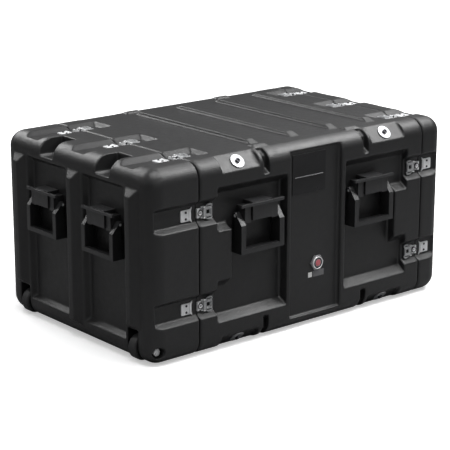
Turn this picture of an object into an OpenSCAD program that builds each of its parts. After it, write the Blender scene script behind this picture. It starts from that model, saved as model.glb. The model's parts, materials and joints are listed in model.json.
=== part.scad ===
// Transit case with a shock mounted 19 inch rack inside: a moulded centre shell,
// two lift-off lids, twist latches, sprung handles, edge wheels and a 7U frame.
// X runs along the case (front lid at -X), Y across it, Z up from its base.

/* [Case] */
// Length over the end walls
case_l = 1042; // [1000:1:1100]
// Width over the side walls
case_w = 653; // [645:1:665]
// Height over the top and bottom walls
case_h = 508; // [500:1:515]
// Radius of every outside edge
edge_r = 44; // [42:1:48]
// Wall thickness
wall = 6; // [5:0.5:7]
// Depth of the front lid
front_lid_d = 155; // [150:1:170]
// Depth of the rear lid
rear_lid_d = 85; // [82:1:95]

/* [Relief] */
// Depth of the recessed side panels
panel_d = 27; // [24:0.5:27]
// Depth of the latch channels in the sides
side_channel_d = 18; // [16:0.5:18]
// Depth of the latch channels in the top
top_channel_d = 12; // [10:0.5:14]
// Depth of the panels in the lid ends
end_panel_d = 17; // [15:0.5:18]
// How far the ribs on the lid ends stand out
end_rib_h = 17; // [14:0.5:18]
// Height of the ribs across the top
top_rib_h = 10; // [8:0.5:11]

/* [Hardware] */
// Edge wheel radius
wheel_r = 34; // [31:0.5:35]
// Edge wheel width
wheel_w = 30; // [26:1:34]
// Width over the handle arms
handle_w = 147; // [140:1:150]
// Running clearance on a radius
run = 0.05; // [0.02:0.01:0.1]

/* [Rack] */
// Rack height in units
rack_u = 7; // [6:1:7]
// Distance across the rack between hole columns
rack_pitch_y = 465.1; // [465.1:0.1:465.2]
// Depth between front and rear rails
rack_depth = 612; // [600:1:620]

/* [Hidden] */
$fn = 48;

W = case_w;
H = case_h;
L = case_l;
R = edge_r;
sf = front_lid_d;               // front seam
sr = L - rear_lid_d;            // rear seam
xm = (sf + sr) / 2;             // middle of the centre shell
e = 30;                         // how far cuts run past a surface
lip = 34;                       // depth of the sealing flanges
rack_z = rack_u * 44.45;        // height of the rack bay
rz0 = H / 2 - rack_z / 2;       // bottom of the rack bay
black = [0.17, 0.17, 0.18];
zinc = [0.83, 0.85, 0.86];
grey = [0.6, 0.61, 0.62];
latch_z = [131, 376];           // latch heights on the sides
latch_y = [-211, 0, 211];       // latch places across the top
pad_x = [xm - 264, xm + 264];   // corner pads with shock mount bolts
notch_x = [xm - 178, xm + 180];
rib_x = [for (i = [-1.5:1:1.5]) xm + 59 + 142 * i];   // ribs on top, grooves below
handle_x = [xm - 202, xm + 202];
handle_z = 348;                 // height of the handle pivots
pivot_h = 12;                   // handle pivot above the panel floor
end_k = 0.92;                   // size of the lid handles against the side ones
wheel_c = [28, 245, 36];        // wheel centre: from the end, from the middle, up

// ---- placing -------------------------------------------------------------
module place() translate([-L / 2, 0, 0]) children();
module on_near() translate([0, -W / 2, 0]) rotate([90, 0, 0]) children();
module both_sides() { children(); mirror([0, 1, 0]) children(); }
module on_front() rotate([90, 0, -90]) children();
module rear_end() translate([L, 0, 0]) mirror([1, 0, 0]) children();
module flip_z() translate([0, 0, H]) mirror([0, 0, 1]) children();
module both_z() { children(); flip_z() children(); }

// ---- basic forms -----------------------------------------------------------
// bar along X with rounded edges, inset g from the outside
module bar(x0, x1, g, r) {
  w = W - 2 * g;
  h = H - 2 * g;
  translate([x0, -w / 2, g + r]) cube([x1 - x0, w, h - 2 * r]);
  translate([x0, -w / 2 + r, g]) cube([x1 - x0, w - 2 * r, h]);
  for (sy = [-1, 1], z = [g + r, g + h - r])
    translate([x0, sy * (w / 2 - r), z]) rotate([0, 90, 0]) cylinder(r = r, h = x1 - x0);
}
// lid outside: rounded on the end at x = g, open at x = d
module lid_form(g, d) {
  r = R - g;
  w = W - 2 * g;
  h = H - 2 * g;
  bar(g + r, d, g, r);
  translate([g, -w / 2 + r, g + r]) cube([r, w - 2 * r, h - 2 * r]);
  for (sy = [-1, 1]) translate([g + r, sy * (w / 2 - r), g + r]) cylinder(r = r, h = h - 2 * r);
  for (z = [g + r, g + h - r]) {
    translate([g + r, -w / 2 + r, z]) rotate([-90, 0, 0]) cylinder(r = r, h = w - 2 * r);
    for (sy = [-1, 1]) translate([g + r, sy * (w / 2 - r), z]) sphere(r = r);
  }
}
// pocket with sloped walls, cut into the plane z = 0: x0..x1 by y0..y1 at the
// surface, depth d, each wall leaning in by s = [x0, x1, y0, y1], grown by g
module pocket(x0, x1, y0, y1, d, s, g) {
  intersection() {
    translate([0, y1 + g, 0]) rotate([90, 0, 0]) linear_extrude(y1 - y0 + 2 * g)
      polygon([[x0 - g, e], [x0 - g, 0], [x0 - g + s[0], -d - g], [x1 + g - s[1], -d - g], [x1 + g, 0], [x1 + g, e]]);
    translate([x0 - g, 0, 0]) rotate([90, 0, 90]) linear_extrude(x1 - x0 + 2 * g)
      polygon([[y0 - g, e], [y0 - g, 0], [y0 - g + s[2], -d - g], [y1 + g - s[3], -d - g], [y1 + g, 0], [y1 + g, e]]);
  }
}
// block standing on the plane z = 0 with sloped sides
module boss_block(x0, x1, y0, y1, h, s) {
  intersection() {
    translate([0, y1, 0]) rotate([90, 0, 0]) linear_extrude(y1 - y0)
      polygon([[x0, -3], [x0, 0], [x0 + s[0], h], [x1 - s[1], h], [x1, 0], [x1, -3]]);
    translate([x0, 0, 0]) rotate([90, 0, 90]) linear_extrude(x1 - x0)
      polygon([[y0, -3], [y0, 0], [y0 + s[2], h], [y1 - s[3], h], [y1, 0], [y1, -3]]);
  }
}

// ---- relief of the centre shell ------------------------------------------
// side panel left of the pillar: recess with a raised block at its outer edge
module side_panel(g) {
  x0 = xm - 343;
  difference() {
    pocket(x0, xm - 105, 75, 437, panel_d, [0, 5, 20, 23], g);
    intersection() {
      translate([x0 - 20, 0, 0]) rotate([90, 0, 90]) linear_extrude(20 + 47 - g)
        polygon([[168 + g, -60], [168 + g, -panel_d - g], [191 + g, -g], [191 + g, e], [319 - g, e], [319 - g, -g], [336 - g, -panel_d - g], [336 - g, -60]]);
      translate([x0 - 20, 100, -60]) cube([20 + 47 - g, 300, 60 + e + 5]);
    }
  }
}
module side_channel(x0, x1, zc, g) {
  pocket(x0, x1, zc - 33, zc + 36, side_channel_d, [8, 8, 12, 12], g);
}
// shallow field for the plates on the pillar
module pillar_field(g) pocket(xm - 94, xm + 91, 29, 492, 13, [3, 3, 6, 6], g);
module corner_pad(x, g)
  translate([x - 64 - g, 0, 0]) rotate([90, 0, 90]) linear_extrude(128 + 2 * g)
    polygon([[-W / 2 - e, H + e], [-W / 2 - e, H - 39 - e - 1.4 * g], [-W / 2 + 39 + e + 1.4 * g, H + e]]);
module edge_notch(x, g)
  translate([x - 10 - g, -W / 2, H]) rotate([90, 0, 90]) linear_extrude(20 + 2 * g)
    polygon([[-e, e], [-e, -63 - g], [0, -63 - g], [22 + g, -50 - g], [22 + g, -20 - g], [50 + g, 0], [50 + g, e]]);
module top_channel(x0, x1, yc, g)
  translate([0, 0, H]) pocket(x0, x1, yc - 43, yc + 43, top_channel_d, [10, 10, 21, 21], g);
module stack_groove(x, g)
  mirror([0, 0, 1]) pocket(x - 17, x + 17, -254, 254, top_rib_h + 1, [2, 2, 14, 14], g);
module body_relief(g) {
  both_sides() {
    on_near() {
      side_panel(g);
      translate([2 * xm, 0, 0]) mirror([1, 0, 0]) side_panel(g);
      pillar_field(g);
      for (z = latch_z) {
        side_channel(sf - 40, xm - 343 + 8, z, g);
        side_channel(xm + 343 - 8, sr + 40, z, g);
      }
    }
    both_z() {
      for (x = pad_x) corner_pad(x, g);
      for (x = notch_x) edge_notch(x, g);
    }
  }
  for (y = latch_y) {
    top_channel(sf - 40, sf + 92, y, g);
    top_channel(sr - 80, sr + 40, y, g);
  }
  for (x = rib_x) stack_groove(x, g);
}
module body_form(g) difference() { bar(sf - (g > 0 ? 1 : 0), sr + (g > 0 ? 1 : 0), g, R - g); body_relief(g); }

module top_ribs() {
  for (x = rib_x)
    translate([x, 0, H]) boss_block(-15, 15, -250, 250, top_rib_h, [3, 3, 25, 25]);
  both_sides() for (x = notch_x, k = [0])
    translate([x + (x > xm ? -14 : 14), -272, H]) boss_block(-25, 25, -15, 15, 6, [3, 3, 12, 6]);
}
// thin ring around the seam, a to b deep from the outside
module ring(x0, x1, a, b)
  difference() {
    bar(x0, x1, a, max(R - a, 8));
    translate([0, 0, 0]) bar(x0 - 1, x1 + 1, b, max(R - b, 4));
  }
module seam_cut(x) for (c = [[5, 3], [1.2, 10]]) difference() {
  translate([x - c[0], -W / 2 - 5, -5]) cube([2 * c[0], W + 10, H + 10]);
  bar(x - 6, x + 6, c[1], R - c[1]);
}
// where each latch sits: x of its boss, and the turn that takes its own frame
// (x away from the seam, y across, z out of the wall) to the wall
module at_latches(front) {
  x = front ? sf + 10 : sr - 10;
  for (z = latch_z) both_sides() translate([x, -W / 2 + side_channel_d, z])
    rotate([90, 0, 0]) mirror([front ? 0 : 1, 0, 0]) children();
  for (y = latch_y) translate([x, y, H - top_channel_d]) mirror([front ? 0 : 1, 0, 0]) children();
}
module at_pads(high) {
  for (x = pad_x) both_sides()
    if (high) translate([x, -W / 2 + 19.5, H - 19.5]) rotate([45, 0, 0]) children();
    else flip_z() translate([x, -W / 2 + 19.5, H - 19.5]) rotate([45, 0, 0]) children();
}
module base_rivet_shafts(r) for (y = [-9.2, 9.2]) translate([6, y, -wall - 1]) cylinder(r = r, h = wall + 3.5);
module striker_rivet_shafts(r) for (y = [-8.5, 8.5]) translate([-44, y, -wall - 1]) cylinder(r = r, h = wall + 4.5);

module center_shell() color(black) place() difference() {
  union() {
    difference() {
      union() { body_form(0); top_ribs(); }
      intersection() {
        body_form(wall);
        translate([sf + wall, -W, -10]) cube([sr - sf - 2 * wall, 2 * W, H + 20]);
      }
      bar(sf - 1, sr + 1, lip, 12);
      seam_cut(sf);
      seam_cut(sr);
    }
    ring(sf - 5.8, sf + 1, 25, 30);
    ring(sr - 1, sr + 5.8, 25, 30);
  }
  for (f = [true, false]) at_latches(f) base_rivet_shafts(2);
  for (h = [true, false]) at_pads(h) translate([0, 0, -40]) cylinder(r = 5, h = 50);
  translate([xm + 12, -W / 2, 168]) rotate([90, 0, 0]) translate([0, 0, -30]) cylinder(r = 13, h = 30);
}

// ---- latches ----------------------------------------------------------------
module latch_base() {
  difference() {
    union() {
      translate([-9.5, -12, 0]) cube([26, 24, 2.2]);
      cylinder(r = 8, h = 7.5);
      translate([-9.5, -12, 2]) cube([5, 24, 4]);
      for (s = [-1, 1]) translate([9.5, s > 0 ? 13 : -15.5, 0]) cube([6, 2.5, 8]);
      for (s = [-1, 1]) translate([6, s > 0 ? 11 : -15.5, 0]) cube([9.5, 4.5, 2.2]);
    }
    translate([0, 0, 3]) cylinder(r = 4, h = 10);
    difference() {
      translate([0, 0, 6]) cylinder(r = 7, h = 2.5);
      translate([0, 0, 5]) cylinder(r = 5.6, h = 4);
    }
    translate([12, 20, 5]) rotate([90, 0, 0]) cylinder(r = 1.5, h = 40);
    base_rivet_shafts(2);
  }
}
module latch_pin() translate([12, 16, 5]) rotate([90, 0, 0]) cylinder(r = 1.5, h = 32);
module rivet_head(y, x, z0, r) translate([x, y, z0]) {
  cylinder(r = r, h = 1.2);
  translate([0, 0, 1.2]) cylinder(r1 = r, r2 = r * 0.6, h = 0.8);
}
module base_rivets() {
  base_rivet_shafts(2);
  for (y = [-9.2, 9.2]) rivet_head(y, 6, 2.2, 2.7);
}
// folding wing: a barrel on the pin and a flared plate with two slots and a window
module latch_wing() {
  difference() {
    union() {
      translate([12, 12.6, 5]) rotate([90, 0, 0]) cylinder(r = 2.6, h = 25.2);
      translate([0, 0, 3.6]) linear_extrude(2.6)
        polygon([[12, -12.6], [12, 12.6], [16, 12.6], [22, 19], [27, 20.5], [35, 20.5], [38.5, 18.5], [40, 14],
          [37.5, 11], [37.5, -11], [40, -14], [38.5, -18.5], [35, -20.5], [27, -20.5], [22, -19], [16, -12.6]]);
      for (s = [-1, 1]) translate([18, s > 0 ? 8 : -10, 5.5]) cube([17, 2, 3]);
      translate([34, -10, 5.5]) cube([2.5, 20, 3]);
    }
    for (s = [-1, 1]) translate([20.5, s * 14.7 - 1.5, 0]) cube([15.5, 3, 12]);
    translate([20, -5.2, 0]) cube([11, 10.4, 12]);
    translate([12, 20, 5]) rotate([90, 0, 0]) cylinder(r = 1.5 + run, h = 40);
  }
}
module striker() difference() {
  union() {
    linear_extrude(3) polygon([[-60, -13], [-58, -15], [-30, -15], [-24, -20], [-27, -10], [-27, 10], [-24, 20], [-30, 15], [-58, 15], [-60, 13]]);
    translate([-34, -12, 3]) cube([4, 24, 2]);
  }
  striker_rivet_shafts(2);
}
module striker_rivets() {
  striker_rivet_shafts(2);
  for (y = [-8.5, 8.5]) rivet_head(y, -44, 3, 3);
}
module latch_bases() color(zinc) place() { at_latches(true) latch_base(); at_latches(false) latch_base(); }
module latch_pins() color(zinc) place() { at_latches(true) latch_pin(); at_latches(false) latch_pin(); }
module body_rivets() color(grey) place() { at_latches(true) base_rivets(); at_latches(false) base_rivets(); }
module wing(front, face, k) color(grey) place()
  if (face == "top") translate([front ? sf + 10 : sr - 10, latch_y[k], H - top_channel_d]) mirror([front ? 0 : 1, 0, 0]) latch_wing();
  else mirror([0, face == "far" ? 1 : 0, 0]) translate([front ? sf + 10 : sr - 10, -W / 2 + side_channel_d, latch_z[k]])
    rotate([90, 0, 0]) mirror([front ? 0 : 1, 0, 0]) latch_wing();

// ---- handles ------------------------------------------------------------------
// own frame: x across, y up from the pivot, z out from the panel floor
module handle_bracket() difference() {
  union() {
    translate([-56.5, -19, 0]) cube([113, 43.5, 7]);
    for (s = [-1, 1]) translate([s > 0 ? 35 : -56.5, -19, 0]) cube([21.5, 43.5, 33]);
    translate([-33.5, -14, 0]) cube([67, 49, 38]);
    translate([-handle_w / 2 + 0.5, 24, 31]) cube([handle_w - 1, 8, 8.5]);
  }
  translate([-100, 0, pivot_h]) rotate([0, 90, 0]) cylinder(r = 4, h = 200);
}
module handle_pin() translate([-handle_w / 2 + 1, 0, pivot_h]) rotate([0, 90, 0]) cylinder(r = 4, h = handle_w - 2);
module handle_grip() difference() {
  union() {
    for (s = [-1, 1]) translate([s > 0 ? handle_w / 2 - 16 : -handle_w / 2, 0, pivot_h]) rotate([90, 0, 90]) linear_extrude(16)
      polygon([[-99, -11], [-99, 28], [-23, 28], [8, 2.2], [8, -6], [3, -11]]);
    translate([-handle_w / 2 + 10, -99, pivot_h + 14]) cube([handle_w - 20, 13, 14]);
    translate([-handle_w / 2 + 10, -97, pivot_h - 9]) cube([handle_w - 20, 6, 25]);
  }
  for (s = [-1, 1]) translate([s * (handle_w / 2 - 8) - 20, 0, pivot_h]) rotate([0, 90, 0]) cylinder(r = 4 + run, h = 40);
}
module side_handle(x) translate([x, -W / 2 + panel_d, handle_z]) rotate([90, 0, 0]) children();
module end_handle(s) translate([end_panel_d, s * 126, handle_z]) on_front() scale(end_k) children();
module side_handle_brackets() color(black) place() both_sides() for (x = handle_x) side_handle(x) handle_bracket();
module side_handle_pins() color(zinc) place() both_sides() for (x = handle_x) side_handle(x) handle_pin();
module end_handle_brackets() for (s = [-1, 1]) end_handle(s) handle_bracket();
module end_handle_pins() for (s = [-1, 1]) end_handle(s) handle_pin();
module side_grip(x, far) color(black) place() mirror([0, far ? 1 : 0, 0]) side_handle(x) handle_grip();
module end_grip(s, rear) color(black) place() if (rear) rear_end() end_handle(s) handle_grip(); else end_handle(s) handle_grip();

// ---- lids -----------------------------------------------------------------------
module end_rib(y, z0) intersection() {
  translate([0, y, 0]) linear_extrude(H)
    polygon([[4, -27], [0, -27], [-end_rib_h, -10], [-end_rib_h, 10], [0, 27], [4, 27]]);
  translate([0, W / 2, 0]) rotate([90, 0, 0]) linear_extrude(W)
    polygon([[4, z0], [0, z0], [-end_rib_h, z0 + 12], [-end_rib_h, 434], [0, 456], [4, 456]]);
}
module lid_relief(d, wheels, g) {
  for (s = [-1, 1]) on_front() {
    if (s > 0) pocket(36, 216, 52, 454, end_panel_d, [8, 8, 12, 12], g);
    else pocket(-216, -36, 52, 454, end_panel_d, [8, 8, 12, 12], g);
  }
  both_sides() on_near() for (z = latch_z) side_channel(12, d + 40, z, g);
  for (y = latch_y) translate([0, 0, H]) pocket(4, d + 40, y - 43, y + 43, top_channel_d, [16, 0, 21, 21], g);
  if (wheels) {
    for (s = [-1, 1]) translate([0, s * 125 + 31 + g, H]) rotate([90, 0, 0]) linear_extrude(62 + 2 * g)
      polygon([[-e, e], [-e, -44 - g], [70 + g, -44 - g], [80 + g, e]]);
    for (s = [-1, 1]) translate([5 - g, s * 125 - 26 - g, H - 48 - g]) cube([61 + 2 * g, 52 + 2 * g, 20]);
    // the wheel wells outside, and solid axle blocks around them inside
    both_sides()
      if (g == 0) {
        translate([-e, -wheel_c[1] - 22.5, -e]) cube([68 + e, 45, 88 + e]);
        translate([wheel_c[0], -W / 2 + 25, wheel_c[2]]) rotate([90, 0, 0]) cylinder(r = 15, h = 80);
      } else translate([-e, -W / 2 - e, -e]) cube([68 + e + g, W / 2 + e - wheel_c[1] + 22.5 + g, 88 + e + g]);
  } else for (s = [-1, 1]) translate([0, s * 125 + 31 + g, H]) rotate([90, 0, 0]) linear_extrude(62 + 2 * g)
      polygon([[-e, e], [-e, -44 - g], [30 + g, -44 - g], [40 + g, e]]);
}
module lid_shell(d, wheels) difference() {
  union() {
    difference() {
      lid_form(0, d);
      lid_relief(d, wheels, 0);
      intersection() {
        difference() { lid_form(wall, d + 1); lid_relief(d, wheels, wall); }
        translate([0, -W, -10]) cube([d - 10, 2 * W, H + 20]);
      }
      bar(d - 40, d + 1, lip, 12);
      seam_cut(d);
      ring(d - 8, d + 1, 24, 31);
      if (d < 2 * R) translate([d, -W, -10]) cube([20, 2 * W, H + 20]);
    }
    end_rib(0, 40);
    both_sides() end_rib(251, wheels ? 92 : 40);
  }
  if (wheels) both_sides() {
    translate([wheel_c[0], -W / 2, wheel_c[2]]) rotate([-90, 0, 0]) cylinder(r = 6, h = 120);
    translate([-e, -wheel_c[1] - 22.5, -e]) cube([68 + e, 45, 88 + e]);
  }
  translate([d + 10, 0, 0]) {
    for (z = latch_z) both_sides() translate([0, -W / 2 + side_channel_d, z]) rotate([90, 0, 0]) striker_rivet_shafts(2);
    for (y = latch_y) translate([0, y, H - top_channel_d]) striker_rivet_shafts(2);
  }
}
module at_strikers(d) translate([d + 10, 0, 0]) {
  for (z = latch_z) both_sides() translate([0, -W / 2 + side_channel_d, z]) rotate([90, 0, 0]) children();
  for (y = latch_y) translate([0, y, H - top_channel_d]) children();
}
module front_lid_shell() color(black) place() lid_shell(front_lid_d, true);
module rear_lid_shell() color(black) place() rear_end() lid_shell(rear_lid_d, false);
module front_gasket() color([0.1, 0.1, 0.1]) place() ring(sf - 8, sf - 5.85, 24, 31);
module rear_gasket() color([0.1, 0.1, 0.1]) place() ring(sr + 5.85, sr + 8, 24, 31);
module front_strikers() color(zinc) place() at_strikers(front_lid_d) striker();
module rear_strikers() color(zinc) place() rear_end() at_strikers(rear_lid_d) striker();
module front_lid_rivets() color(grey) place() at_strikers(front_lid_d) striker_rivets();
module rear_lid_rivets() color(grey) place() rear_end() at_strikers(rear_lid_d) striker_rivets();
module front_handle_brackets() color(black) place() end_handle_brackets();
module front_handle_pins() color(zinc) place() end_handle_pins();
module rear_handle_brackets() color(black) place() rear_end() end_handle_brackets();
module rear_handle_pins() color(zinc) place() rear_end() end_handle_pins();

// ---- wheels ------------------------------------------------------------------------
module axle() translate([wheel_c[0], -W / 2 + 25, wheel_c[2]]) rotate([-90, 0, 0]) {
  cylinder(r = 6, h = 95);
  translate([0, 0, -7]) cylinder(r = 10, h = 7, $fn = 6);
  translate([0, 0, 85]) cylinder(r = 9.5, h = 8, $fn = 6);
}
module wheel_axles() color(zinc) place() both_sides() axle();
module wheel_hub() translate([wheel_c[0], -wheel_c[1], wheel_c[2]]) rotate([90, 0, 0]) difference() {
  union() {
    cylinder(r = 25, h = wheel_w - 6, center = true);
    cylinder(r = 11, h = wheel_w + 4, center = true);
  }
  cylinder(r = 6 + run, h = 60, center = true);
  for (s = [-1, 1]) translate([0, 0, s * 14]) difference() { cylinder(r = 21.5, h = 12, center = true); cylinder(r = 12, h = 14, center = true); }
}
module wheel_tyre() translate([wheel_c[0], -wheel_c[1], wheel_c[2]]) rotate([90, 0, 0]) rotate_extrude()
  polygon([[25, -wheel_w / 2 + 3], [27, -wheel_w / 2], [wheel_r - 3, -wheel_w / 2], [wheel_r, -wheel_w / 2 + 3.5], [wheel_r, wheel_w / 2 - 3.5], [wheel_r - 3, wheel_w / 2], [27, wheel_w / 2], [25, wheel_w / 2 - 3]]);

// ---- shock mounts and rack ---------------------------------------------------------
module shock_washers() color(zinc) place() for (h = [true, false]) at_pads(h) difference() {
  cylinder(r = 20, h = 3);
  translate([0, 0, -1]) cylinder(r = 5, h = 6);
}
module shock_bolts() color([0.25, 0.25, 0.26]) place() for (h = [true, false]) at_pads(h) {
  translate([0, 0, -16]) cylinder(r = 5, h = 19.5);
  difference() {
    translate([0, 0, 3]) cylinder(r = 6.5, h = 5);
    translate([0, 0, 5]) cylinder(r = 3.6, h = 5, $fn = 6);
  }
}
module shock_mount() difference() {
  union() {
    translate([0, 0, -wall - 6]) cylinder(r = 22, h = 5.9);
    translate([0, 0, -wall - 30]) cylinder(r = 18, h = 24.5);
    translate([0, 0, -wall - 36]) cylinder(r = 22, h = 6.5);
  }
  translate([0, 0, -16.5]) cylinder(r = 5, h = 30);
}
module shock_mounts_upper() color([0.12, 0.12, 0.12]) place() at_pads(true) shock_mount();
module shock_mounts_lower() color([0.12, 0.12, 0.12]) place() at_pads(false) shock_mount();

fx0 = xm - rack_depth / 2;      // front face of the front rails
fx1 = xm + rack_depth / 2;
module side_frame() {
  for (z = [rz0 - 32, rz0 + rack_z + 12]) translate([fx0 - 40, -275, z]) cube([rack_depth + 80, 20, 20]);
  for (x = [fx0 + 4, xm - 12, fx1 - 28]) translate([x, -275, rz0 - 20]) cube([24, 20, rack_z + 40]);
  for (x = pad_x) both_z() translate([x - 26, 0, H]) rotate([90, 0, 90]) linear_extrude(52)
    polygon([[-W / 2 + 19.5 + 29.8 - 18, -19.5 - 29.8 - 18], [-W / 2 + 19.5 + 29.8 + 18, -19.5 - 29.8 + 18],
      [-W / 2 + 19.5 + 29.8 + 21, -19.5 - 29.8 + 15], [-W / 2 + 19.5 + 29.8 + 21, -19.5 - 29.8 - 25], [-W / 2 + 19.5 + 29.8 - 15, -19.5 - 29.8 - 25], [-W / 2 + 19.5 + 29.8 - 18, -19.5 - 29.8 - 21]]);
}
module rack_side_frames() color(grey) place() both_sides() side_frame();
module rack_cross_bars() color(grey) place()
  for (x = [fx0 + 40, xm + 20, fx1 - 60], z = [rz0 - 30, rz0 + rack_z + 14])
    translate([x, -255, z]) cube([20, 510, 16]);
module rail(s) difference() {
  union() {
    translate([fx0, -250, rz0]) cube([3, 25, rack_z]);
    translate([fx0, -255, rz0]) cube([30, 5, rack_z]);
  }
  for (u = [0:rack_u - 1], h = [6.35, 22.225, 38.1])
    translate([fx0 - 2, -rack_pitch_y / 2, rz0 + u * 44.45 + h]) rotate([0, 90, 0]) cylinder(r = 3.5, h = 8);
  for (z = [rz0 + 12, rz0 + rack_z - 12]) translate([fx0 + 16, -256, z]) rotate([-90, 0, 0]) cylinder(r = 3, h = 10);
}
module rack_rails() color([0.3, 0.3, 0.31]) place() both_sides() { rail(1); translate([2 * xm, 0, 0]) mirror([1, 0, 0]) rail(1); }
module rail_screw(x) for (z = [rz0 + 12, rz0 + rack_z - 12]) translate([x, -255, z]) rotate([-90, 0, 0]) {
  cylinder(r = 3, h = 5);
  translate([0, 0, 5]) difference() { cylinder(r = 5.5, h = 3.5); translate([0, 0, 1.5]) cylinder(r = 3, h = 3, $fn = 6); }
}
module rack_screws() color(zinc) place() both_sides() { rail_screw(fx0 + 16); rail_screw(fx1 - 16); }

// ---- valve and plates ----------------------------------------------------------------
module at_pillar(x, z) translate([x, -W / 2 + 13, z]) rotate([90, 0, 0]) children();
module valve_body() color(zinc) place() at_pillar(xm + 12, 168) difference() {
  union() {
    cylinder(r = 22.5, h = 5, $fn = 6);
    cylinder(r = 17, h = 7.5);
    translate([0, 0, -14]) cylinder(r = 13, h = 15);
  }
  translate([0, 0, -8]) cylinder(r = 9.05, h = 20);
  translate([0, 0, 5.5]) difference() { cylinder(r = 14.5, h = 3); cylinder(r = 11, h = 3); }
  translate([0, 0, -20]) cylinder(r = 3, h = 20);
}
module valve_button() color([0.6, 0.2, 0.22]) place() at_pillar(xm + 12, 168) {
  translate([0, 0, -3]) cylinder(r = 9, h = 10);
  translate([0, 0, 7]) cylinder(r1 = 9, r2 = 7.5, h = 1);
}
module nameplate() color([0.1, 0.1, 0.1]) place() at_pillar(xm - 79, 368) difference() {
  cube([118, 108, 1.6]);
  translate([8, 46, 1.2]) cube([102, 1.2, 1]);
}
module info_label() color([0.85, 0.85, 0.85]) place() {
  at_pillar(xm - 18, 130) cube([14, 14, 1]);
  at_pillar(xm + 0, 129) cube([39, 17, 1]);
}

// ---- the parts ------------------------------------------------------------------------
center_shell();
latch_bases();
latch_pins();
body_rivets();
side_handle_brackets();
side_handle_pins();
shock_washers();
shock_bolts();
shock_mounts_upper();
shock_mounts_lower();
valve_body();
valve_button();
nameplate();
info_label();
rack_side_frames();
rack_cross_bars();
rack_rails();
rack_screws();
front_lid_shell();
front_gasket();
front_strikers();
front_lid_rivets();
front_handle_brackets();
front_handle_pins();
wheel_axles();
rear_lid_shell();
rear_gasket();
rear_strikers();
rear_lid_rivets();
rear_handle_brackets();
rear_handle_pins();
color(grey) place() wheel_hub();  // left_wheel_hub
color([0.1, 0.1, 0.1]) place() wheel_tyre();  // left_wheel_tyre
color(grey) place() mirror([0, 1, 0]) wheel_hub();  // right_wheel_hub
color([0.1, 0.1, 0.1]) place() mirror([0, 1, 0]) wheel_tyre();  // right_wheel_tyre
side_grip(handle_x[0], false);  // grip_near_front
side_grip(handle_x[1], false);  // grip_near_rear
side_grip(handle_x[0], true);  // grip_far_front
side_grip(handle_x[1], true);  // grip_far_rear
end_grip(-1, false);  // grip_front_near
end_grip(1, false);  // grip_front_far
end_grip(-1, true);  // grip_rear_near
end_grip(1, true);  // grip_rear_far
wing(true, "near", 0);  // wing_front_near_low
wing(true, "near", 1);  // wing_front_near_high
wing(true, "top", 0);  // wing_front_top_near
wing(true, "top", 1);  // wing_front_top_mid
wing(true, "top", 2);  // wing_front_top_far
wing(true, "far", 1);  // wing_front_far_high
wing(true, "far", 0);  // wing_front_far_low
wing(false, "near", 0);  // wing_rear_near_low
wing(false, "near", 1);  // wing_rear_near_high
wing(false, "top", 0);  // wing_rear_top_near
wing(false, "top", 1);  // wing_rear_top_mid
wing(false, "top", 2);  // wing_rear_top_far
wing(false, "far", 1);  // wing_rear_far_high
wing(false, "far", 0);  // wing_rear_far_low
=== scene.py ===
"""Looks of the equipment rack case: moulded shells, plated latches, studio stage and camera."""
import json
import math

import bmesh
import bpy
from mathutils import Matrix, Vector


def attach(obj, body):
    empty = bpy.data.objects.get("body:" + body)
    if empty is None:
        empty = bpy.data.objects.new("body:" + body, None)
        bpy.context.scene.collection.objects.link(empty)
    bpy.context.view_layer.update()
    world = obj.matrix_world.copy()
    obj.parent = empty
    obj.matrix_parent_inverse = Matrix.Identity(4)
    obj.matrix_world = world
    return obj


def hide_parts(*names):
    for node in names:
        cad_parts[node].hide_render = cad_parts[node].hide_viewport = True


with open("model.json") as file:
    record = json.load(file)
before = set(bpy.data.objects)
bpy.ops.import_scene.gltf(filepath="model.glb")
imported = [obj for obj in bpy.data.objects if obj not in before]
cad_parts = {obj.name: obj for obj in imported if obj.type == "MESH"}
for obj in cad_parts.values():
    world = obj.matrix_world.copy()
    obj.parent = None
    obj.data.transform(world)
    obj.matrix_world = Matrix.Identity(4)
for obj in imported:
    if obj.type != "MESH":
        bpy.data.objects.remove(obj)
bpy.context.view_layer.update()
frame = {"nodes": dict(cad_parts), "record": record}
nodes = frame["nodes"]
record = frame["record"]
body_of = {n: b for b, ns in record["behaviour"]["bodies"].items() for n in ns}
slot_of = {s["node"]: s["material_slot"] for s in record["subparts"]}


# ---------------------------------------------------------------- materials
def new_mat(name):
    m = bpy.data.materials.new(name)
    m.use_nodes = True
    nt = m.node_tree
    nt.nodes.clear()
    out = nt.nodes.new("ShaderNodeOutputMaterial")
    b = nt.nodes.new("ShaderNodeBsdfPrincipled")
    nt.links.new(b.outputs[0], out.inputs[0])
    return m, nt, b


def N(nt, kind, **kw):
    n = nt.nodes.new(kind)
    for k, v in kw.items():
        if k in n.inputs:
            n.inputs[k].default_value = v
        else:
            setattr(n, k, v)
    return n


def coords(nt):
    g = nt.nodes.new("ShaderNodeTexCoord")
    return g.outputs["Object"]


def ramp(nt, src, stops):
    r = nt.nodes.new("ShaderNodeValToRGB")
    while len(r.color_ramp.elements) > 1:
        r.color_ramp.elements.remove(r.color_ramp.elements[-1])
    first = True
    for p, c in stops:
        c = (c, c, c, 1) if isinstance(c, float) else (*c, 1)
        if first:
            el = r.color_ramp.elements[0]
            el.position = p
            first = False
        else:
            el = r.color_ramp.elements.new(p)
        el.color = c
    nt.links.new(src, r.inputs[0])
    return r.outputs[0]


def mul(nt, a, b, op="MULTIPLY"):
    m = nt.nodes.new("ShaderNodeMath")
    m.operation = op
    for i, v in enumerate((a, b)):
        if isinstance(v, (int, float)):
            m.inputs[i].default_value = v
        else:
            nt.links.new(v, m.inputs[i])
    return m.outputs[0]


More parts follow.
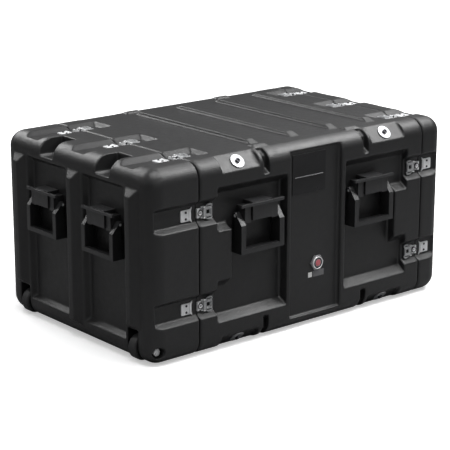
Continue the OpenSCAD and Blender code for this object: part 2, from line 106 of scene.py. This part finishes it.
def mix_col(nt, fac, a, b):
    m = nt.nodes.new("ShaderNodeMix")
    m.data_type = "RGBA"
    for sock, v in ((m.inputs[0], fac), (m.inputs[6], a), (m.inputs[7], b)):
        if isinstance(v, (tuple, list)):
            sock.default_value = (*v, 1)
        elif isinstance(v, (int, float)):
            sock.default_value = v
        else:
            nt.links.new(v, sock)
    return m.outputs[2]


# pointiness mask of convex edges, used to paint edge highlights
def edge_mask(nt, lo=0.52, hi=0.62):
    g = nt.nodes.new("ShaderNodeNewGeometry")
    return ramp(nt, g.outputs["Pointiness"], [(lo, 0.0), (hi, 1.0)])


def plastic(name, base, rough, grain=0.9, grain_mm=1.1, edge_highlight=(0.09, 0.09, 0.095), edge_highlight_amt=0.35, spec=0.5, dust=0.12):
    m, nt, b = new_mat(name)
    co = coords(nt)
    n1 = N(nt, "ShaderNodeTexNoise", Scale=1000 / grain_mm, Detail=4.0, Roughness=0.62)
    n2 = N(nt, "ShaderNodeTexVoronoi", Scale=1000 / (grain_mm * 1.9))
    n3 = N(nt, "ShaderNodeTexNoise", Scale=7.0, Detail=6.0, Roughness=0.6)
    n4 = N(nt, "ShaderNodeTexNoise", Scale=55.0, Detail=5.0, Roughness=0.7)
    for n in (n1, n2, n3, n4):
        nt.links.new(co, n.inputs["Vector"])
    cloud = ramp(nt, n3.outputs[0], [(0.32, 0.0), (0.72, 1.0)])
    c = mix_col(nt, cloud, tuple(x * 0.88 for x in base), tuple(x * 1.14 for x in base))
    speck = ramp(nt, n1.outputs[0], [(0.45, 0.0), (0.72, 1.0)])
    c = mix_col(nt, mul(nt, speck, 0.35), c, tuple(x * 1.9 for x in base))
    # painted highlight: convex edges (pointiness mask) are mixed toward the lighter edge colour
    c = mix_col(nt, mul(nt, edge_mask(nt), edge_highlight_amt), c, edge_highlight)
    # a little settled dust on faces that look up
    g = nt.nodes.new("ShaderNodeNewGeometry")
    sep = nt.nodes.new("ShaderNodeSeparateXYZ")
    nt.links.new(g.outputs["Normal"], sep.inputs[0])
    up = ramp(nt, sep.outputs[2], [(0.35, 0.0), (0.95, 1.0)])
    patch = ramp(nt, n4.outputs[0], [(0.35, 0.25), (0.7, 1.0)])
    c = mix_col(nt, mul(nt, mul(nt, up, patch), dust), c, (0.16, 0.16, 0.165))
    nt.links.new(c, b.inputs["Base Color"])
    r = nt.nodes.new("ShaderNodeMapRange")
    nt.links.new(n4.outputs[0], r.inputs[0])
    r.inputs[1].default_value, r.inputs[2].default_value = 0.3, 0.7
    r.inputs[3].default_value, r.inputs[4].default_value = rough - 0.06, rough + 0.07
    nt.links.new(r.outputs[0], b.inputs["Roughness"])
    b.inputs["Specular IOR Level"].default_value = spec
    bump1 = N(nt, "ShaderNodeBump", Strength=0.55 * grain, Distance=0.00035)
    hgt = mul(nt, n1.outputs[0], mul(nt, n2.outputs[0], 0.6), "ADD")
    nt.links.new(hgt, bump1.inputs["Height"])
    bump2 = N(nt, "ShaderNodeBump", Strength=0.35, Distance=0.004)
    nt.links.new(n3.outputs[0], bump2.inputs["Height"])
    nt.links.new(bump2.outputs[0], bump1.inputs["Normal"])
    nt.links.new(bump1.outputs[0], b.inputs["Normal"])
    return m


def metal(name, base, rough, brush=(1, 1, 1), dark=0.55, edge_glint=0.6, metallic=1.0):
    m, nt, b = new_mat(name)
    co = coords(nt)
    mp = N(nt, "ShaderNodeMapping")
    mp.inputs["Scale"].default_value = brush
    nt.links.new(co, mp.inputs["Vector"])
    n1 = N(nt, "ShaderNodeTexNoise", Scale=900.0, Detail=3.0)
    n2 = N(nt, "ShaderNodeTexNoise", Scale=60.0, Detail=6.0, Roughness=0.65)
    n3 = N(nt, "ShaderNodeTexVoronoi", Scale=420.0)
    nt.links.new(mp.outputs[0], n1.inputs["Vector"])
    nt.links.new(co, n2.inputs["Vector"])
    nt.links.new(co, n3.inputs["Vector"])
    blot = ramp(nt, n2.outputs[0], [(0.35, 0.0), (0.68, 1.0)])
    c = mix_col(nt, blot, tuple(x * 0.86 for x in base), base)
    c = mix_col(nt, mul(nt, ramp(nt, n3.outputs[0], [(0.0, 0.0), (0.7, 1.0)]), 0.12), c, (base[0] * 0.8, base[1] * 0.84, base[2] * 0.9))
    g = nt.nodes.new("ShaderNodeNewGeometry")
    # painted shade: hollows and creases (low pointiness) are darkened toward a quarter of the base colour, by the
    # amount dark
    crevice_shade_mask = ramp(nt, g.outputs["Pointiness"], [(0.40, 1.0), (0.48, 0.0)])
    c = mix_col(nt, mul(nt, crevice_shade_mask, dark), c, tuple(x * 0.25 for x in base))
    # painted highlight: convex edges are lightened to 1.25 times the base colour, standing in for light catching the
    # edges
    c = mix_col(nt, mul(nt, edge_mask(nt, 0.54, 0.66), edge_glint), c, tuple(min(1.0, x * 1.25) for x in base))
    nt.links.new(c, b.inputs["Base Color"])
    b.inputs["Metallic"].default_value = metallic
    r = nt.nodes.new("ShaderNodeMapRange")
    nt.links.new(n2.outputs[0], r.inputs[0])
    r.inputs[1].default_value, r.inputs[2].default_value = 0.3, 0.7
    r.inputs[3].default_value, r.inputs[4].default_value = rough - 0.07, rough + 0.1
    nt.links.new(r.outputs[0], b.inputs["Roughness"])
    bump = N(nt, "ShaderNodeBump", Strength=0.25, Distance=0.00015)
    nt.links.new(n1.outputs[0], bump.inputs["Height"])
    nt.links.new(bump.outputs[0], b.inputs["Normal"])
    return m


def rubber(name, base, rough=0.75, grain_mm=1.6):
    # painted highlight: rubber edges lightened to 2.2 times the rubber colour
    m = plastic(name, base, rough, grain=0.8, grain_mm=grain_mm, edge_highlight=tuple(x * 2.2 for x in base), edge_highlight_amt=0.4, spec=0.3, dust=0.25)
    return m


MATS = {
    "shell_plastic": plastic("molded_shell", (0.0095, 0.0096, 0.0100), 0.43, grain=1.15, grain_mm=2.2, edge_highlight=(0.060, 0.061, 0.064), edge_highlight_amt=0.5, spec=0.62, dust=0.05),
    "handle_plastic": plastic("handle_nylon", (0.010, 0.0101, 0.0106), 0.36, grain=0.5, grain_mm=0.8, edge_highlight=(0.09, 0.09, 0.095), edge_highlight_amt=0.5, spec=0.6, dust=0.05),
    "zinc_steel": metal("zinc_plate", (0.96, 0.965, 0.97), 0.38, dark=0.9, metallic=0.35),
    "latch_grey": metal("satin_steel", (0.46, 0.465, 0.47), 0.36, brush=(0.15, 1, 1), dark=0.9, edge_glint=1.0, metallic=0.4),
    "black_rubber": rubber("mount_rubber", (0.016, 0.016, 0.017)),
    "wheel_rubber": rubber("tyre_rubber", (0.034, 0.034, 0.035), rough=0.55, grain_mm=1.2),
    "hub_plastic": plastic("hub_nylon", (0.035, 0.035, 0.038), 0.5, grain_mm=0.9),
    "dark_steel": metal("black_oxide", (0.07, 0.07, 0.075), 0.38),
    "red_plastic": plastic("valve_button_red", (0.50, 0.12, 0.14), 0.38, grain=0.3, grain_mm=0.6, edge_highlight=(0.42, 0.12, 0.12), dust=0.05),
    "plate_black": plastic("plate_print", (0.006, 0.006, 0.0065), 0.33, grain=0.15, grain_mm=0.5, edge_highlight=(0.05, 0.05, 0.055), spec=0.4, dust=0.05),
    "label_white": plastic("label_print", (0.62, 0.62, 0.61), 0.4, grain=0.15, grain_mm=0.5, edge_highlight=(0.7, 0.7, 0.69), dust=0.05),
    "frame_aluminium": metal("mill_aluminium", (0.62, 0.63, 0.64), 0.38, brush=(0.05, 1, 1)),
    "rail_painted": plastic("rail_powder_coat", (0.025, 0.025, 0.027), 0.5, grain=0.7, grain_mm=0.7),
}


def zones(mat, axis, steps, colours):
    """Repaint a material in bands along one axis (0 x, 1 y, 2 z, in metres)."""
    nt = mat.node_tree
    b = next(x for x in nt.nodes if x.type == "BSDF_PRINCIPLED")
    sep = nt.nodes.new("ShaderNodeSeparateXYZ")
    nt.links.new(coords(nt), sep.inputs[0])
    link = b.inputs["Base Color"].links[0].from_socket
    c = link
    for at, col in zip(steps, colours):
        lo = mul(nt, sep.outputs[axis], at[0], "GREATER_THAN")
        hi = mul(nt, sep.outputs[axis], at[1], "LESS_THAN")
        fac = mul(nt, lo, hi)
        for ax2, a2, b2 in at[2:]:
            fac = mul(nt, fac, mul(nt, mul(nt, sep.outputs[ax2], a2, "GREATER_THAN"), mul(nt, sep.outputs[ax2], b2, "LESS_THAN")))
        c = mix_col(nt, fac, c, col)
    nt.links.new(c, b.inputs["Base Color"])
    return mat


def rings(mat, cx, cz, bands):
    """Repaint a material in rings around a point of the near side (metres)."""
    nt = mat.node_tree
    b = next(x for x in nt.nodes if x.type == "BSDF_PRINCIPLED")
    sep = nt.nodes.new("ShaderNodeSeparateXYZ")
    nt.links.new(coords(nt), sep.inputs[0])
    dx, dz = mul(nt, sep.outputs[0], cx, "SUBTRACT"), mul(nt, sep.outputs[2], cz, "SUBTRACT")
    r = mul(nt, mul(nt, mul(nt, dx, dx), mul(nt, dz, dz), "ADD"), 0.5, "POWER")
    c = b.inputs["Base Color"].links[0].from_socket
    for r0, r1, col in bands:
        fac = mul(nt, mul(nt, r, r0, "GREATER_THAN"), mul(nt, r, r1, "LESS_THAN"))
        c = mix_col(nt, fac, c, col)
    nt.links.new(c, b.inputs["Base Color"])
    return mat


def hubs(mat, bands):
    """Repaint the latch bases in rings around each latch hub, on the sides and on the top (metres)."""
    nt = mat.node_tree
    b = next(x for x in nt.nodes if x.type == "BSDF_PRINCIPLED")
    sep = nt.nodes.new("ShaderNodeSeparateXYZ")
    nt.links.new(coords(nt), sep.inputs[0])

    def near(sock, places):
        d = None
        for p in places:
            k = mul(nt, mul(nt, sock, p, "SUBTRACT"), 0.0, "ABSOLUTE")
            d = k if d is None else mul(nt, d, k, "MINIMUM")
        return d

    dx = near(sep.outputs[0], (-0.356, 0.426))
    dy = near(sep.outputs[1], (-0.211, 0.0, 0.211))
    dz = near(sep.outputs[2], (0.131, 0.376))
    top = mul(nt, sep.outputs[2], 0.47, "GREATER_THAN")
    side = mul(nt, 1.0, top, "SUBTRACT")
    d2 = mul(nt, mul(nt, dy, top), mul(nt, dz, side), "ADD")
    r = mul(nt, mul(nt, mul(nt, dx, dx), mul(nt, d2, d2), "ADD"), 0.5, "POWER")
    c = b.inputs["Base Color"].links[0].from_socket
    for r0, r1, col in bands:
        fac = mul(nt, mul(nt, r, r0, "GREATER_THAN"), mul(nt, r, r1, "LESS_THAN"))
        c = mix_col(nt, fac, c, col)
    nt.links.new(c, b.inputs["Base Color"])
    return mat


SPECIAL = {
    "latch_bases": hubs(metal("latch_plate", (0.96, 0.965, 0.97), 0.38, dark=0.9, metallic=0.35),
                        [(-1.0, 0.0030, (0.015, 0.015, 0.016)), (0.0030, 0.0058, (0.97, 0.97, 0.98)), (0.0058, 0.0082, (0.03, 0.03, 0.032))]),
    "front_lid_rivets": metal("rivet_dark_a", (0.05, 0.05, 0.055), 0.4, edge_glint=0.3),
    "rear_lid_rivets": metal("rivet_dark_b", (0.05, 0.05, 0.055), 0.4, edge_glint=0.3),
    "valve_body": rings(metal("valve_plate", (0.34, 0.34, 0.35), 0.36, metallic=0.5), 0.047, 0.168,
                        [(0.0, 0.0108, (0.30, 0.30, 0.31)), (0.0145, 0.0172, (0.97, 0.97, 0.98)), (0.0108, 0.0145, (0.05, 0.05, 0.055))]),
    "nameplate": zones(plastic("plate_rule", (0.006, 0.006, 0.0065), 0.33, grain=0.15, grain_mm=0.5, edge_highlight=(0.05, 0.05, 0.055), spec=0.4, dust=0.05),
                       2, [(0.4135, 0.4157, (0, -0.035, 0.065))], [(0.30, 0.30, 0.31)]),
    "info_label": zones(plastic("label_two_tone", (0.72, 0.72, 0.71), 0.4, grain=0.15, grain_mm=0.5, edge_highlight=(0.8, 0.8, 0.79), dust=0.05),
                        0, [(0.034, 0.2)], [(0.16, 0.16, 0.165)]),
    "shock_washers": metal("washer_plate", (0.52, 0.52, 0.53), 0.48, dark=0.6),
    "shock_bolts": metal("bolt_oxide", (0.045, 0.045, 0.05), 0.36),
}


# ---------------------------------------------------------------- pieces
def set_mat(o, m):
    o.data.materials.clear()
    o.data.materials.append(m)


def active(o):
    bpy.ops.object.select_all(action="DESELECT")
    bpy.context.view_layer.objects.active = o
    o.select_set(True)


def apply_mods(o):
    dg = bpy.context.evaluated_depsgraph_get()
    me = bpy.data.meshes.new_from_object(o.evaluated_get(dg))
    o.modifiers.clear()
    o.data = me


def clean_copy(name, new_name):
    src = nodes[name]
    me = src.data.copy()
    o = bpy.data.objects.new(new_name, me)
    bpy.context.scene.collection.objects.link(o)
    bm = bmesh.new()
    bm.from_mesh(me)
    bmesh.ops.remove_doubles(bm, verts=bm.verts, dist=2e-6)
    bm.to_mesh(me)
    bm.free()
    return o


def finish_piece(o, node, smooth_angle=None):
    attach(o, body_of[node])
    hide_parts(node)
    set_mat(o, MATS[slot_of[node]])


def molded(node, voxel, passes=3, ratio=0.35):
    """Moulded shell: voxel copy of the CAD shell with every edge softened, then thinned out."""
    o = clean_copy(node, node + "_molded")
    m = o.modifiers.new("remesh", "REMESH")
    m.mode = "VOXEL"
    m.voxel_size = voxel
    m.use_smooth_shade = True
    s = o.modifiers.new("soften", "SMOOTH")
    s.factor = 0.5
    s.iterations = passes
    d = o.modifiers.new("thin", "DECIMATE")
    d.ratio = ratio
    apply_mods(o)
    for p in o.data.polygons:
        p.use_smooth = True
    finish_piece(o, node)
    return o


def eased(node, width, segments=2, angle=32):
    """CAD node kept, with its edges eased by modifiers."""
    o = nodes[node]
    w = o.modifiers.new("weld", "WELD")
    w.merge_threshold = 2e-6
    b = o.modifiers.new("ease", "BEVEL")
    b.width = width
    b.segments = segments
    b.limit_method = "ANGLE"
    b.angle_limit = math.radians(angle)
    b.use_clamp_overlap = True
    b.harden_normals = False
    n = o.modifiers.new("normals", "WEIGHTED_NORMAL")
    n.keep_sharp = True
    for p in o.data.polygons:
        p.use_smooth = True


for n in nodes:
    set_mat(nodes[n], SPECIAL.get(n, MATS[slot_of[n]]))

molded("center_shell", 0.0026, passes=3, ratio=0.22)
molded("front_lid_shell", 0.0026, passes=3, ratio=0.22)
molded("rear_lid_shell", 0.0026, passes=3, ratio=0.22)

for n in nodes:
    if n.startswith("grip_"):
        eased(n, 0.0016, 3)
    elif "handle_bracket" in n:
        eased(n, 0.0012, 2)
    elif n.startswith("wing_") or n in ("front_strikers", "rear_strikers", "latch_bases"):
        eased(n, 0.00045, 2)
    elif n in ("valve_body", "valve_button", "shock_washers", "nameplate", "info_label"):
        eased(n, 0.0005, 2)
    elif "rack" in n or "wheel" in n or "rivets" in n or "bolts" in n:
        eased(n, 0.0004, 1)

# ---------------------------------------------------------------- stage
def stage_floor():
    me = bpy.data.meshes.new("studio_floor")
    s = 14.0
    me.from_pydata([(-s, -s, 0), (s, -s, 0), (s, s, 0), (-s, s, 0)], [], [(0, 1, 2, 3)])
    o = bpy.data.objects.new("studio_floor", me)
    o.location = (0, 0, -0.0002)
    bpy.context.scene.collection.objects.link(o)
    m, nt, b = new_mat("floor_paint")
    co = coords(nt)
    n = N(nt, "ShaderNodeTexNoise", Scale=3.0, Detail=4.0)
    nt.links.new(co, n.inputs["Vector"])
    nt.links.new(mix_col(nt, n.outputs[0], (0.86, 0.86, 0.865), (0.90, 0.90, 0.90)), b.inputs["Base Color"])
    b.inputs["Roughness"].default_value = 0.75
    b.inputs["Specular IOR Level"].default_value = 0.2
    out = next(x for x in nt.nodes if x.type == "OUTPUT_MATERIAL")
    glow = N(nt, "ShaderNodeEmission", Color=(1, 1, 1, 1))
    far = N(nt, "ShaderNodeVectorMath", operation="LENGTH")
    nt.links.new(co, far.inputs[0])
    fade = nt.nodes.new("ShaderNodeMapRange")
    nt.links.new(far.outputs["Value"], fade.inputs[0])
    for i, v in enumerate((0.75, 1.6, 0.42, 1.1), 1):
        fade.inputs[i].default_value = v
    nt.links.new(fade.outputs[0], glow.inputs["Strength"])
    add = nt.nodes.new("ShaderNodeAddShader")
    nt.links.new(b.outputs[0], add.inputs[0])
    nt.links.new(glow.outputs[0], add.inputs[1])
    dim = N(nt, "ShaderNodeBsdfDiffuse", Color=(0.26, 0.26, 0.263, 1))
    lp = nt.nodes.new("ShaderNodeLightPath")
    mx = nt.nodes.new("ShaderNodeMixShader")
    nt.links.new(lp.outputs["Is Camera Ray"], mx.inputs[0])
    nt.links.new(dim.outputs[0], mx.inputs[1])
    nt.links.new(add.outputs[0], mx.inputs[2])
    nt.links.new(mx.outputs[0], out.inputs[0])
    o.data.materials.append(m)


def area(name, loc, target, size, power, color=(1, 1, 1), spread=180):
    l = bpy.data.lights.new(name, "AREA")
    l.shape = "RECTANGLE"
    l.size, l.size_y = size
    l.energy = power
    l.color = color
    l.spread = math.radians(spread)
    o = bpy.data.objects.new(name, l)
    o.location = loc
    o.rotation_euler = (Vector(target) - Vector(loc)).to_track_quat("-Z", "Y").to_euler()
    bpy.context.scene.collection.objects.link(o)
    return o


stage_floor()
world = bpy.data.worlds.new("studio")
bpy.context.scene.world = world
world.use_nodes = True
wn = world.node_tree
wn.nodes.clear()
wo = wn.nodes.new("ShaderNodeOutputWorld")
bg_cam = wn.nodes.new("ShaderNodeBackground")
bg_cam.inputs[0].default_value = (1, 1, 1, 1)
bg_cam.inputs[1].default_value = 1.0
bg_lit = wn.nodes.new("ShaderNodeBackground")
tc = wn.nodes.new("ShaderNodeTexCoord")
sx = wn.nodes.new("ShaderNodeSeparateXYZ")
wn.links.new(tc.outputs["Generated"], sx.inputs[0])
rp = wn.nodes.new("ShaderNodeValToRGB")
rp.color_ramp.elements[0].position = 0.0
rp.color_ramp.elements[0].color = (0.30, 0.30, 0.305, 1)
rp.color_ramp.elements[1].position = 0.9
rp.color_ramp.elements[1].color = (1.0, 1.0, 1.0, 1)
wn.links.new(sx.outputs[2], rp.inputs[0])
wn.links.new(rp.outputs[0], bg_lit.inputs[0])
bg_lit.inputs[1].default_value = 0.34
lp = wn.nodes.new("ShaderNodeLightPath")
mx = wn.nodes.new("ShaderNodeMixShader")
wn.links.new(lp.outputs["Is Camera Ray"], mx.inputs[0])
wn.links.new(bg_lit.outputs[0], mx.inputs[1])
wn.links.new(bg_cam.outputs[0], mx.inputs[2])
wn.links.new(mx.outputs[0], wo.inputs[0])

area("key_top", (-0.35, -0.75, 2.70), (0, 0, 0.4), (2.0, 1.4), 46)
area("strip_right", (1.45, -0.80, 2.15), (-0.05, -0.25, 0.45), (1.6, 1.0), 47)
area("strip_high", (1.45, 0.45, 2.15), (0.0, 0.0, 0.5), (1.3, 0.8), 10)
area("strip_back", (-0.65, 2.10, 1.85), (-0.4, 0, 0.45), (1.6, 0.8), 30)
area("fill_side", (-0.9, -3.2, 1.7), (0, 0, 0.3), (2.4, 1.2), 7)
area("fill_end", (-3.4, 0.5, 1.5), (-0.4, 0, 0.3), (1.6, 1.2), 3)

# ---------------------------------------------------------------- camera
cam = bpy.data.cameras.new("camera")
cam.sensor_width = 36.0
cam.lens = 128.9
co = bpy.data.objects.new("camera", cam)
bpy.context.scene.collection.objects.link(co)
co.location = (-2.8085, -3.3350, 1.4441)
yaw, pitch = math.radians(39.99), math.radians(15.77)
fwd = Vector((math.sin(yaw) * math.cos(pitch), math.cos(yaw) * math.cos(pitch), -math.sin(pitch)))
co.rotation_mode = "QUATERNION"
co.rotation_quaternion = fwd.to_track_quat("-Z", "Y")
cam.clip_start, cam.clip_end = 0.1, 60
bpy.context.scene.camera = co
bpy.context.scene.view_settings.view_transform = "Standard"
